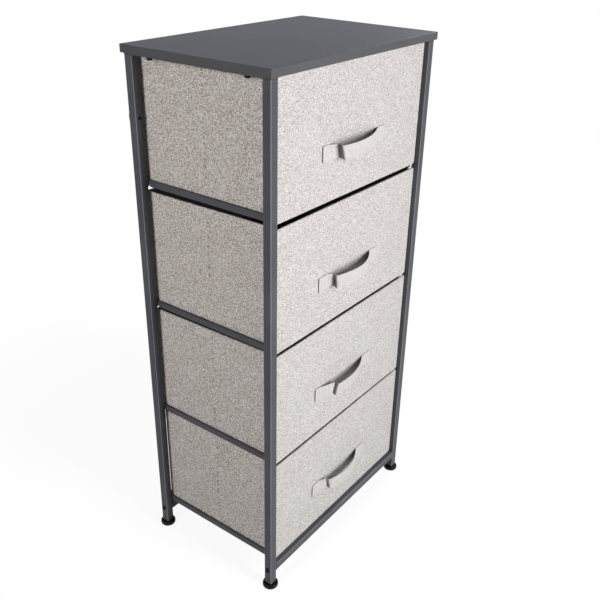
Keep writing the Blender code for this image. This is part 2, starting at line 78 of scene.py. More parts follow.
def link(name, mesh, material, smooth_angle=FLAT_ANGLE):
    """A new object from a bmesh in world coordinates, shaded smooth up to an angle."""
    bmesh.ops.recalc_face_normals(mesh, faces=mesh.faces)
    data = bpy.data.meshes.new(name)
    mesh.to_mesh(data)
    mesh.free()
    data.shade_smooth()
    data.set_sharp_from_angle(angle=math.radians(smooth_angle))
    data.materials.append(material)
    piece = bpy.data.objects.new(name, data)
    bpy.context.scene.collection.objects.link(piece)
    return piece


def node(tree, kind, inputs=None, **settings):
    """A shader node with its settings, and its inputs as values or as sockets to link."""
    new = tree.nodes.new(kind)
    for key, value in settings.items():
        setattr(new, key, value)
    for key, value in (inputs or {}).items():
        if isinstance(value, bpy.types.NodeSocket):
            tree.links.new(value, new.inputs[key])
        else:
            new.inputs[key].default_value = value
    return new


def new_material(name):
    """A node material with its tree and its Principled shader."""
    material = bpy.data.materials.new(name)
    material.use_nodes = True
    tree = material.node_tree
    return material, tree, tree.nodes["Principled BSDF"]


def own_place(tree):
    """The object's own coordinates."""
    return node(tree, "ShaderNodeTexCoord").outputs["Object"]


def facing(tree):
    """The parts of the surface's normal along X, Y and Z."""
    normal = node(tree, "ShaderNodeNewGeometry").outputs["Normal"]
    return node(tree, "ShaderNodeSeparateXYZ", {"Vector": normal}).outputs


def stretched_noise(tree, place, scales, detail=2.0, roughness=0.5):
    """Noise over a place, stretched by three scales."""
    mapping = node(tree, "ShaderNodeMapping", {"Vector": place, "Scale": scales})
    inputs = {"Vector": mapping.outputs["Vector"], "Scale": 1.0, "Detail": detail, "Roughness": roughness}
    return node(tree, "ShaderNodeTexNoise", inputs).outputs["Fac"]


def math_node(tree, operation, first, second=None):
    """A math node's result for one value or two."""
    inputs = {0: first}
    if second is not None:
        inputs[1] = second
    return node(tree, "ShaderNodeMath", inputs, operation=operation).outputs[0]


def ranged(tree, value, source, target):
    """A value's range turned into another."""
    inputs = {"Value": value, "From Min": source[0], "From Max": source[1],
              "To Min": target[0], "To Max": target[1]}
    return node(tree, "ShaderNodeMapRange", inputs).outputs["Result"]


def ramp(tree, factor, stops):
    """A colour from a factor, by (position, colour) stops."""
    new = node(tree, "ShaderNodeValToRGB", {"Fac": factor})
    elements = new.color_ramp.elements
    while len(elements) < len(stops):
        elements.new(0.5)
    for element, (position, colour) in zip(elements, stops):
        element.position = position
        element.color = (*colour, 1.0)
    return new.outputs["Color"]


def scaled(tree, colour, factor):
    """A colour times a value."""
    inputs = {0: colour, "Scale": factor}
    return node(tree, "ShaderNodeVectorMath", inputs, operation="SCALE").outputs["Vector"]


def bump(tree, height, strength, distance):
    """A normal from a height."""
    inputs = {"Height": height, "Strength": strength, "Distance": distance}
    return node(tree, "ShaderNodeBump", inputs).outputs["Normal"]


NOISE_SPAN = (0.3, 0.7)
FINE_DETAIL = 3.0


def uneven(tree, factor, colour, darkest, lightest):
    """A colour that noise takes from a darker to a lighter share of itself."""
    shades = [tuple(value * share for value in colour) for share in (darkest, lightest)]
    return ramp(tree, factor, tuple(zip(NOISE_SPAN, shades)))


def finish_shader(tree, shader, colour, roughness, specular, relief):
    """Links a shader's colour and relief, and its roughness as a socket or a value."""
    tree.links.new(colour, shader.inputs["Base Color"])
    if isinstance(roughness, bpy.types.NodeSocket):
        tree.links.new(roughness, shader.inputs["Roughness"])
    else:
        shader.inputs["Roughness"].default_value = roughness
    shader.inputs["Specular IOR Level"].default_value = specular
    tree.links.new(relief, shader.inputs["Normal"])


# Linen

THREAD_SEEDS = (3.37, 9.71)
THREAD_STEP = 7.31
TONE_CHANGE = 0.75
FLECK_SCALE = 900
PATCH_SCALE = 24
PATCH_SHARE = 0.04
TONE_MEAN = 0.52
# The part of the normal along Y, from where the painted shade starts to where it is full
BACK_SHADE_SPAN = (0.0, 0.35)
LINEN_ROUGHNESS = 0.92
LINEN_SPECULAR = 0.2
LINEN_SHEEN = 0.1
SHEEN_ROUGHNESS = 0.6
WEAVE_BUMP = (0.6, 0.00035)


def thread_tone(tree, across, along, seed):
    """The tone of each thread, which changes slowly along it."""
    number = math_node(tree, "FLOOR", across)
    inputs = {"X": math_node(tree, "MULTIPLY", number, THREAD_STEP),
              "Y": math_node(tree, "MULTIPLY", along, TONE_CHANGE),
              "Z": seed}
    place = node(tree, "ShaderNodeCombineXYZ", inputs).outputs[0]
    return node(tree, "ShaderNodeTexNoise", {"Vector": place, "Scale": 1.0, "Detail": 1.0}).outputs["Fac"]


def plain_weave(tree, u, v):
    """A wave that changes sign from thread to thread, both ways."""
    weft, warp = [math_node(tree, "SINE", math_node(tree, "MULTIPLY", value, math.pi)) for value in (u, v)]
    return math_node(tree, "MULTIPLY", weft, warp)


def linen(name, dark, middle, light, contrast, pitch, flat=False, back=1.0, flecked=0.3):
    """Heathered plain weave. Each thread has its own tone, and lies over and under in turn.
    A face that looks back, along +Y, is darker by a factor: painted shade, as in the space behind a strap's
    arch."""
    material, tree, shader = new_material(name)
    place = own_place(tree)
    split = node(tree, "ShaderNodeSeparateXYZ", {"Vector": place}).outputs
    if flat:
        across, up = split["X"], split["Y"]
    else:
        across, up = math_node(tree, "ADD", split["X"], split["Y"]), split["Z"]
    u, v = [math_node(tree, "MULTIPLY", value, 1 / pitch) for value in (across, up)]
    weave = plain_weave(tree, u, v)
    inputs = {"Factor": math_node(tree, "GREATER_THAN", weave, 0.0),
              "A": thread_tone(tree, u, v, THREAD_SEEDS[0]),
              "B": thread_tone(tree, v, u, THREAD_SEEDS[1])}
    threads = node(tree, "ShaderNodeMix", inputs, data_type="FLOAT").outputs["Result"]
    flecks = stretched_noise(tree, place, (FLECK_SCALE,) * 3, 1.0)
    patches = stretched_noise(tree, place, (PATCH_SCALE,) * 3)
    mixed = math_node(tree, "ADD", threads, math_node(tree, "MULTIPLY", flecks, flecked))
    mixed = math_node(tree, "ADD", mixed, math_node(tree, "MULTIPLY", patches, PATCH_SHARE))
    centred = math_node(tree, "SUBTRACT", mixed, TONE_MEAN + flecked / 2)
    tone = math_node(tree, "ADD", math_node(tree, "MULTIPLY", centred, contrast), 0.5)
    colour = ramp(tree, tone, ((0.0, dark), (0.5, middle), (1.0, light)))
    # Painted shade: faces that look back, along +Y, are darkened to stand in for the shade behind a strap's
    # arch
    if back != 1.0:
        colour = scaled(tree, colour, ranged(tree, facing(tree)["Y"], BACK_SHADE_SPAN, (1.0, back)))
    height = math_node(tree, "ADD", math_node(tree, "ABSOLUTE", weave), mixed)
    finish_shader(tree, shader, colour, LINEN_ROUGHNESS, LINEN_SPECULAR, bump(tree, height, *WEAVE_BUMP))
    shader.inputs["Sheen Weight"].default_value = LINEN_SHEEN
    shader.inputs["Sheen Roughness"].default_value = SHEEN_ROUGHNESS
    return material


# Powder coat

COAT_SPECULAR = 0.07
COAT_GLOSS = (0.35, 0.46)
PEEL_SCALE = 1400
PEEL_BUMP = (0.25, 0.00012)
COAT_CLOUD_SCALES = (18, 18, 9)
COAT_SHADES = (0.88, 1.12)
# Painted highlight along the tubes' rounded corners: the largest part of the normal at a corner and on a flat
# face, then how much lighter a corner is painted
CORNER_HIGHLIGHT_SPAN = (0.78, 0.97)
CORNER_HIGHLIGHT_GAIN = 2.9


def powder_coat(name, colour):
    """Satin powder coat: a fine orange-peel relief, slight changes of tone and gloss, and a painted highlight
    that makes rounded corners lighter.
    """
    material, tree, shader = new_material(name)
    place = own_place(tree)
    peel = stretched_noise(tree, place, (PEEL_SCALE,) * 3)
    cloud = stretched_noise(tree, place, COAT_CLOUD_SCALES, FINE_DETAIL)
    # Painted highlight: the coat is lighter where the normal turns round a corner
    normal = facing(tree)
    x, y, z = [math_node(tree, "ABSOLUTE", normal[axis]) for axis in "XYZ"]
    flattest = math_node(tree, "MAXIMUM", math_node(tree, "MAXIMUM", x, y), z)
    corner = ranged(tree, flattest, CORNER_HIGHLIGHT_SPAN, (CORNER_HIGHLIGHT_GAIN, 1.0))
    tone = scaled(tree, uneven(tree, cloud, colour, *COAT_SHADES), corner)
    gloss = ranged(tree, cloud, NOISE_SPAN, COAT_GLOSS)
    finish_shader(tree, shader, tone, gloss, COAT_SPECULAR, bump(tree, peel, *PEEL_BUMP))
    return material


# Laminate

LAMINATE_SPECULAR = 0.05
LAMINATE_GLOSS = (0.36, 0.5)
PEBBLE_SCALE = 1100
PEBBLE_ROUGHNESS = 0.6
PEBBLE_BUMP = (0.2, 0.0001)
LAMINATE_CLOUD_SCALES = (7, 10, 10)
LAMINATE_SHADES = (0.9, 1.1)
SPECKLES = ((0.35, (0.93, 0.93, 0.93)), (0.65, (1.07, 1.07, 1.07)))
# The part of the normal along Z from which a face counts as level
LEVEL_LIMIT = 0.7


def laminate(name, colour, edge):
    """Dark laminate of the board, with its edge banding: a very fine pebbled film with faint cloudiness."""
    material, tree, shader = new_material(name)
    place = own_place(tree)
    pebble = stretched_noise(tree, place, (PEBBLE_SCALE,) * 3, FINE_DETAIL, PEBBLE_ROUGHNESS)
    cloud = stretched_noise(tree, place, LAMINATE_CLOUD_SCALES, FINE_DETAIL)
    band, top = [uneven(tree, cloud, shade, *LAMINATE_SHADES) for shade in (edge, colour)]
    chosen = math_node(tree, "GREATER_THAN", math_node(tree, "ABSOLUTE", facing(tree)["Z"]), LEVEL_LIMIT)
    tone = node(tree, "ShaderNodeMix", {"Factor": chosen, "A": band, "B": top}, data_type="RGBA")
    inputs = {"Factor": 1.0, "A": tone.outputs["Result"], "B": ramp(tree, pebble, SPECKLES)}
    mixed = node(tree, "ShaderNodeMix", inputs, data_type="RGBA", blend_type="MULTIPLY")
    gloss = ranged(tree, pebble, NOISE_SPAN, LAMINATE_GLOSS)
    relief = bump(tree, pebble, *PEBBLE_BUMP)
    finish_shader(tree, shader, mixed.outputs["Result"], gloss, LAMINATE_SPECULAR, relief)
    return material


# Black plastic and steel

MOULDED_SPECULAR = 0.12
GRAIN_SCALE = 900
GRAIN_BUMP = (0.2, 0.00015)
GRAIN_SHADES = (0.7, 1.4)
# Changes of the roughness, from the glossiest to the dullest grain
GRAIN_GLOSS = (-0.06, 0.08)


def moulded(name, colour, roughness):
    """Moulded black plastic or blackened steel, with a fine grain in its tone, gloss and relief."""
    material, tree, shader = new_material(name)
    grain = stretched_noise(tree, own_place(tree), (GRAIN_SCALE,) * 3, FINE_DETAIL)
    tone = uneven(tree, grain, colour, *GRAIN_SHADES)
    gloss = ranged(tree, grain, NOISE_SPAN, [roughness + change for change in GRAIN_GLOSS])
    finish_shader(tree, shader, tone, gloss, MOULDED_SPECULAR, bump(tree, grain, *GRAIN_BUMP))
    return material


# Materials

FRONT_LINEN = linen("front_linen", (0.40, 0.355, 0.33), (0.74, 0.70, 0.67), (0.97, 0.96, 0.95),
                    contrast=4.6, pitch=0.001)
# The side walls' linen is the fronts' fabric again, painted lighter, warmer and with stronger contrast to
# make up for the lower light on the side walls: a lit copy of one material
SIDE_LINEN = linen("side_linen", (0.36, 0.295, 0.255), (0.985, 0.86, 0.797), (1.0, 0.965, 0.93),
                   contrast=12.0, pitch=0.0013, flecked=0.6)
# The strap's back-facing faces are painted darker, as painted shade behind its arch and in the fold at its
# riser
STRAP_LINEN = linen("strap_linen", (0.50, 0.46, 0.44), (0.77, 0.735, 0.72), (0.95, 0.94, 0.93),
                    contrast=1.8, pitch=0.0009, back=0.22)
# The lining is a cloth shell whose dark tone is painted shade, standing in for the shade inside the bins
LINING_PAINTED_DARK = linen("lining", (0.11, 0.10, 0.10), (0.15, 0.145, 0.14), (0.20, 0.19, 0.185),
               contrast=1.0, pitch=0.0016)
BOARD_CLOTH = linen("base_board_cloth", (0.11, 0.10, 0.10), (0.16, 0.15, 0.145), (0.21, 0.20, 0.19),
                    contrast=1.0, pitch=0.0014, flat=True)
COAT = powder_coat("powder_coat", (0.105, 0.106, 0.118))
LAMINATE = laminate("board_laminate", (0.067, 0.077, 0.098), (0.112, 0.112, 0.122))
BLACK_STEEL = moulded("black_steel", (0.006, 0.006, 0.006), 0.4)
BLACK_PLASTIC = moulded("black_plastic", (0.004, 0.004, 0.004), 0.3)


# Materials of the frame's own nodes

def dress(name, material):
    """Gives a node of the frame a new material in each of its slots."""
    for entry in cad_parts[name].material_slots:
        entry.material = material


dress("top_board", LAMINATE)
for bar in ("front_bottom_rail", "rear_bottom_rail", "rear_brace"):
    dress(bar, COAT)
for side in ("left", "right"):
    dress(f"{side}_top_strip", COAT)
    for index in DRAWERS:
        dress(f"{side}_ledge_{index}", COAT)
for corner in CORNERS:
    dress(f"{corner}_leg", COAT)
    dress(f"{corner}_nut_plug", BLACK_PLASTIC)
    dress(f"{corner}_insert", BLACK_PLASTIC)


# Turned pieces: bolts, screws and feet

# Half of the angle that one side of a hexagon takes up, in radians
HEXAGON_HALF = math.pi / 6


def around(segments):
    """Angles of a full turn, in radians."""
    return [2 * math.pi * step / segments for step in range(segments)]


def stack(mesh, loops):
    """Side faces between loops of as many vertices each, in turn."""
    for lower, upper in zip(loops, loops[1:]):
        count = len(lower)
        for step in range(count):
            after = (step + 1) % count
            mesh.faces.new((lower[step], lower[after], upper[after], upper[step]))


def turned(profile, segments, socket=None):
    """A solid of revolution about Z from (radius, height) points on the axis at both ends.
    A socket is a hexagonal recess (across corners radius, depth) in the lower end."""
    mesh = bmesh.new()
    rings = []
    for radius, height in profile[1:-1]:
        ring = [(radius * math.cos(angle), radius * math.sin(angle), height) for angle in around(segments)]
        rings.append([mesh.verts.new(point) for point in ring])
    stack(mesh, rings)
    mesh.faces.new(rings[-1])
    if socket is None:
        mesh.faces.new(rings[0])
        return mesh
    radius, depth = socket
    level = profile[0][1]
    mouth = []
    floor = []
    for angle in around(segments):
        turn = (angle + HEXAGON_HALF) % (2 * HEXAGON_HALF) - HEXAGON_HALF
        reach = radius * math.cos(HEXAGON_HALF) / math.cos(turn)
        x, y = reach * math.cos(angle), reach * math.sin(angle)
        mouth.append(mesh.verts.new((x, y, level)))
        floor.append(mesh.verts.new((x, y, level + depth)))
    stack(mesh, [rings[0], mouth, floor])
    mesh.faces.new(floor)
    return mesh


def arc(centre, radius, start, end, steps):
    """Points along an arc, with its angles in degrees."""
    points = []
    for step in range(steps + 1):
        angle = math.radians(start + (end - start) * step / steps)
        points.append((centre[0] + radius * math.cos(angle), centre[1] + radius * math.sin(angle)))
    return points


def middle_of(name):
    """The middle of a node's box."""
    low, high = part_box(name)
    return [(a + b) / 2 for a, b in zip(low, high)]


# Bolts of the rails and of the brace

BOLT_SEGMENTS = 64
BOLT_HEAD_RADIUS = 0.0048
BOLT_HEAD_HEIGHT = 0.0028
BOLT_HEAD_ROUNDING = 0.8 * BOLT_HEAD_HEIGHT
BOLT_SHANK_RADIUS = 0.003
# Bevels, as (change of radius, length)
BOLT_RIM = (0.0002, 0.0001)
BOLT_TIP = (0.0006, 0.0008)
# Sockets, as (radius across the corners, depth)
BOLT_SOCKET = (0.5 * BOLT_HEAD_RADIUS, 0.62 * BOLT_HEAD_HEIGHT)


def make_bolt(name, seat, axis, shank_length):
    """A button-head bolt with a hexagonal socket. Its seat is a point, and its shank runs along an axis."""
    centre = (BOLT_HEAD_RADIUS - BOLT_HEAD_ROUNDING, BOLT_HEAD_ROUNDING - BOLT_HEAD_HEIGHT)
    profile = [(0, -BOLT_HEAD_HEIGHT)] + arc(centre, BOLT_HEAD_ROUNDING, -90, 0, 8)
    profile += [(BOLT_HEAD_RADIUS, -BOLT_RIM[1]), (BOLT_HEAD_RADIUS - BOLT_RIM[0], 0)]
    profile += [(BOLT_SHANK_RADIUS, 0), (BOLT_SHANK_RADIUS, shank_length - BOLT_TIP[1])]
    profile += [(BOLT_SHANK_RADIUS - BOLT_TIP[0], shank_length), (0, shank_length)]
    mesh = turned(profile, BOLT_SEGMENTS, BOLT_SOCKET)
    turn = Vector((0, 0, 1)).rotation_difference(Vector(axis)).to_matrix().to_4x4()
    bmesh.ops.transform(mesh, matrix=Matrix.Translation(seat) @ turn, verts=mesh.verts)
    piece = link(f"{name}_shape", mesh, BLACK_STEEL, TURNED_ANGLE)
    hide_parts(name)
    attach(piece, "frame")


for corner in CORNERS:
    name = f"{corner}_rail_bolt"
    inward = 1 if corner.endswith("left") else -1
    low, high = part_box(name)
    _, y, z = middle_of(name)
    outer = low[0] if inward > 0 else high[0]
    length = high[0] - low[0] - BOLT_HEAD_HEIGHT
    make_bolt(name, (outer + inward * BOLT_HEAD_HEIGHT, y, z), (inward, 0, 0), length)
for side in ("left", "right"):
    name = f"{side}_brace_bolt"
    low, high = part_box(name)
    x, _, z = middle_of(name)
    make_bolt(name, (x, high[1] - BOLT_HEAD_HEIGHT, z), (0, -1, 0), high[1] - low[1] - BOLT_HEAD_HEIGHT)


# Screws of the board

SCREW_SEGMENTS = 48
SCREW_HEAD_HEIGHT = 0.0045
SCREW_CROWN_RADIUS = 0.0008
SCREW_CROWN_LIFT = 0.0009
SCREW_FACE_RADIUS = 0.0029
SCREW_NECK_RADIUS = 0.0042
SCREW_NECK_DROP = 0.0015
# Places on the flange, as (radius, drop below the head's seat)
SCREW_FLANGE = ((0.0050, 0.0012), (0.0056, 0.0009), (0.0058, 0.0004), (0.0058, 0.0))
SCREW_SHANK_RADIUS = 0.002
SCREW_TIP = 0.002
SCREW_SOCKET = (0.0021, 0.002)


def make_screw(name):
    """A flanged pan-head screw, head down, with a hexagonal socket."""
    low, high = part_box(name)
    x, y, _ = middle_of(name)
    top = low[2] + SCREW_HEAD_HEIGHT
    centre = (SCREW_NECK_RADIUS - SCREW_CROWN_RADIUS, low[2] + SCREW_CROWN_LIFT)
    profile = [(0, low[2]), (SCREW_FACE_RADIUS, low[2])] + arc(centre, SCREW_CROWN_RADIUS, -60, 0, 4)
    profile += [(SCREW_NECK_RADIUS, top - SCREW_NECK_DROP)]
    profile += [(radius, top - drop) for radius, drop in SCREW_FLANGE]
    profile += [(SCREW_SHANK_RADIUS, top), (SCREW_SHANK_RADIUS, high[2] - SCREW_TIP), (0, high[2])]
    mesh = turned(profile, SCREW_SEGMENTS, SCREW_SOCKET)
    bmesh.ops.translate(mesh, vec=(x, y, 0), verts=mesh.verts)
    piece = link(f"{name}_shape", mesh, BLACK_STEEL, TURNED_ANGLE)
    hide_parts(name)
    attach(piece, "frame")


for corner in CORNERS:
    make_screw(f"{corner}_board_screw")


# Levelling feet

FOOT_SEGMENTS = 72
FOOT_THICKNESS = 0.0088
FOOT_SOLE_RECESS = 0.0004
FOOT_SOLE_INSETS = (0.0045, 0.004)
FOOT_LOWER_ROUNDING = 0.0026
FOOT_UPPER_ROUNDING = 0.0034
FOOT_COLLAR_RADIUS = 0.0045
FOOT_CROWN_DROP = 0.0001
STEM_RADIUS = 0.003
THREAD_PITCH = 0.001
THREAD_DEPTH = 0.0003
# One ring of the thread, as (share of the pitch, depth)
THREAD_FORM = ((0.3, 0.0), (0.6, THREAD_DEPTH), (0.9, 0.0))
THREAD_FREE = 0.002
# Places on the stem's tip, as (radius, drop below its end)
STEM_TIP = ((0.0028, 0.0006), (0.0021, 0.0))


def make_foot(corner):
    """A round foot with soft edges and a ringed stem."""
    name = f"{corner}_foot"
    low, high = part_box(name)
    x, y, _ = middle_of(name)
    radius = (high[0] - low[0]) / 2
    flat, edge = FOOT_SOLE_INSETS
    profile = [(0, FOOT_SOLE_RECESS), (radius - flat, FOOT_SOLE_RECESS), (radius - edge, 0)]
    profile += arc((radius - FOOT_LOWER_ROUNDING, FOOT_LOWER_ROUNDING), FOOT_LOWER_ROUNDING, -80, 0, 8)
    centre = (radius - FOOT_UPPER_ROUNDING, FOOT_THICKNESS - FOOT_UPPER_ROUNDING)
    profile += arc(centre, FOOT_UPPER_ROUNDING, 0, 75, 10)
    profile += [(radius - flat, FOOT_THICKNESS - FOOT_CROWN_DROP)]
    profile += [(FOOT_COLLAR_RADIUS, FOOT_THICKNESS), (STEM_RADIUS, FOOT_THICKNESS)]
    height = FOOT_THICKNESS
    while height < high[2] - THREAD_FREE:
        for share, depth in THREAD_FORM:
            profile.append((STEM_RADIUS - depth, height + share * THREAD_PITCH))
        height += THREAD_PITCH
    profile += [(tip_radius, high[2] - drop) for tip_radius, drop in STEM_TIP] + [(0, high[2])]
    mesh = turned(profile, FOOT_SEGMENTS)
    bmesh.ops.translate(mesh, vec=(x, y, 0), verts=mesh.verts)
    piece = link(f"{name}_shape", mesh, BLACK_PLASTIC, TURNED_ANGLE)
    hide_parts(name)
    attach(piece, f"{corner}_leveller")


for corner in CORNERS:
    make_foot(corner)


# Covered fronts

FRONT_EDGE = 0.0013
FRONT_LOWER_CORNER = 0.0065
FRONT_UPPER_CORNER = 0.0025
# How far each front's left end stands above level, and its right end below
FRONT_ROLLS = {1: 0.0012, 2: 0.0009, 3: 0.0006, 4: -0.0004}
FRONT_WAVE = 0.00025
FRONT_WAVE_SHARE = 0.6
FRONT_WAVE_SCALES = (11, 13)
FRONT_WAVE_STEP = 7.3
FRONT_CALM = 0.02
FRONT_BACK_SHARE = 0.5
FRONT_COLUMNS = 56
FRONT_ROWS = 32
QUARTER_TURN = (0, 22.5, 45, 67.5, 90)
FINE_PLACES = [FRONT_EDGE * (1 - math.cos(math.radians(angle))) for angle in QUARTER_TURN]
FINE_PLACES += [0.0022, 0.0034, 0.005, FRONT_LOWER_CORNER]


def spaced(half, count):
    """Places from -half to half, close together at both ends and evenly spaced between."""
    inner = half - FINE_PLACES[-1]
    middle = [-inner + 2 * inner * step / count for step in range(1, count)]
    return [-half + d for d in FINE_PLACES] + middle + [half - d for d in reversed(FINE_PLACES)]


def rounded_corner(x, z, half_x, half_z):
    """A place on a front's plan, drawn in to its rounded corners."""
    corner = FRONT_LOWER_CORNER if z < 0 else FRONT_UPPER_CORNER
    over_x = abs(x) - (half_x - corner)
    over_z = abs(z) - (half_z - corner)
    if over_x <= 0 or over_z <= 0:
        return x, z
    pull = max(over_x, over_z) / math.hypot(over_x, over_z)
    return (math.copysign(half_x - corner + over_x * pull, x),
            math.copysign(half_z - corner + over_z * pull, z))


def grid_rim(grid):
    """The outline of a grid of vertices, in turn."""
    right, left = [line[-1] for line in grid[:-1]], [line[0] for line in grid[:0:-1]]
    return grid[0][:-1] + right + grid[-1][:0:-1] + left


def two_sided(mesh, sides):
    """Faces over two grids of vertices, and between their outlines."""
    for grid in sides:
        for lower, upper in zip(grid, grid[1:]):
            for a, b, c, d in zip(lower, lower[1:], upper[1:], upper):
                mesh.faces.new((a, b, c, d))
    stack(mesh, [grid_rim(grid) for grid in sides])


def cover_front(index):
    """A board wrapped in linen, with soft edges, rounded lower corners and slight unevenness."""
    name = f"drawer_{index}_front"
    low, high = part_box(name)
    half_x = (high[0] - low[0]) / 2
    half_z = (high[2] - low[2]) / 2
    middle_z = (high[2] + low[2]) / 2
    roll = FRONT_ROLLS[index] / half_x
    columns = spaced(half_x, FRONT_COLUMNS)
    rows = spaced(half_z, FRONT_ROWS)

    def depth_of(x, z, before):
        """Where the face before or behind lies."""
        inside = min(half_x - abs(x), half_z - abs(z))
        inset = max(0.0, FRONT_EDGE - inside)
        back = FRONT_EDGE - math.sqrt(max(0.0, FRONT_EDGE ** 2 - inset ** 2))
        if not before:
            return high[1] - back * FRONT_BACK_SHARE
        calm = min(1.0, inside / FRONT_CALM) * FRONT_WAVE
        place = (x * FRONT_WAVE_SCALES[0], index * FRONT_WAVE_STEP, z * FRONT_WAVE_SCALES[1])
        return low[1] + back + (noise.noise(Vector(place)) + 1) * calm * FRONT_WAVE_SHARE

    mesh = bmesh.new()
    grids = []
    for before in (True, False):
        grid = []
        for z in rows:
            line = []
            for x in columns:
                new_x, new_z = rounded_corner(x, z, half_x, half_z)
                place = (new_x + new_z * roll, depth_of(x, z, before), middle_z + new_z - new_x * roll)
                line.append(mesh.verts.new(place))
            grid.append(line)
        grids.append(grid)
    two_sided(mesh, grids)
    piece = link(f"{name}_cover", mesh, FRONT_LINEN, COVER_ANGLE)
    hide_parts(name)
    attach(piece, f"drawer_{index}")


# Bins

BIN_SKIN = 0.0022
BIN_CORNER = 0.001
BIN_WAVE = 0.00035
BIN_WAVE_SCALES = (16, 16, 12)
BIN_WAVE_STEP = 5.1
BIN_CALM = 0.01
# How far each bin's body reaches behind its CAD solid
REAR_REACHES = {1: 0.0012, 2: 0.0012, 3: 0.0012, 4: 0.0017}
SIDE_STEPS = 22
BACK_STEPS = 26
SIDE_BAND = 0.004
SOLE_RADIUS = 0.0009
SOLE_SKIN = 0.0016
WALL_STEPS = 22
FOLD_WIDTH = 0.0030
FOLD_DEPTH = 0.0015
# Places across the fold, as shares of its width
FOLD_SHARES = (-0.5, -0.3, -0.12, 0.0, 0.12, 0.3, 0.5)
HEM_HEIGHT = 0.017
HEM_RISE = 0.00035
HEM_STEP = 0.0006
HEM_STEP_SHARE = 0.7
# Heights on the hem, as shares of the way up to the rim's edge
HEM_SHARES = (0.25, 0.5, 0.75, 1.0)
RIM_EDGE = 0.001
# Places on the rim's edge, as (drop below the rim, inset)
RIM_ROUNDING = ((0.0003, 0.0003), (0.0, 0.0009))
RIM_INNER_DROP = 0.0004
RIM_DIP = 0.0125
RIM_DIP_HEIGHT = 0.03
RIM_DIP_DEPTH = 0.02
RIM_DIP_SIDE = 0.01
# How far each rim lies above its level, at the rear and at the front
RIM_TILTS = {1: (0.0, 0.0), 2: (-0.0012, 0.0010), 3: (-0.0014, 0.0010), 4: (0.0004, -0.0004)}
# How far each bin's side walls lean in at the rim
RIM_LEANS = {1: 0.0, 2: 0.0005, 3: 0.0012, 4: 0.0042}
LEAN_START = 0.6
REAR_RIM_RISE = 0.003
REAR_RIM_RUN = 0.003
# How far each bin's side walls bulge out halfway up
BIN_BULGES = {1: 0.0006, 2: 0.0006, 3: 0.0014, 4: 0.0006}
SAG_RUN = 0.03
# The first of the wall's heights that the inside has too
INSIDE_START = 3
LINING_GAP = 0.0001
LINING_SKIN = 0.0006
# Heights of the underside and of the top of the lining's floor
LINING_FLOOR = (0.0017, 0.0021)
LINING_DROP = 0.0015


def bin_plan(low, high):
    """Plan of a bin, from its box. The fold has points of its own."""
    half = high[0] - BIN_WAVE
    front = low[1] + BIN_WAVE
    rear = high[1]
    middle = (low[1] + high[1]) / 2
    start = front + BIN_CORNER
    run = rear - BIN_CORNER - start
    side = [start + run * step / SIDE_STEPS for step in range(SIDE_STEPS + 1)]
    side += [middle + FOLD_WIDTH * share for share in FOLD_SHARES]
    side = sorted(set(round(y, 6) for y in side))
    flat = half - BIN_CORNER
    right = arc((flat, start), BIN_CORNER, -90, 0, 4)[:-1]
    right += [(half, y) for y in side]
    right += arc((flat, rear - BIN_CORNER), BIN_CORNER, 0, 90, 6)[1:]
    across = [flat - 2 * flat * step / BACK_STEPS for step in range(1, BACK_STEPS)]
    back = [(x, rear) for x in across]
    left = [(-x, y) for x, y in reversed(right)]
    ahead = [(-x, front) for x in across]
    return right + back + left + ahead


def outward(points):
    """Unit normals of a closed plan, pointing out."""
    normals = []
    count = len(points)
    for step in range(count):
        before, after = points[step - 1], points[(step + 1) % count]
        dx, dy = after[0] - before[0], after[1] - before[1]
        length = math.hypot(dx, dy)
        normals.append((dy / length, -dx / length))
    return normals


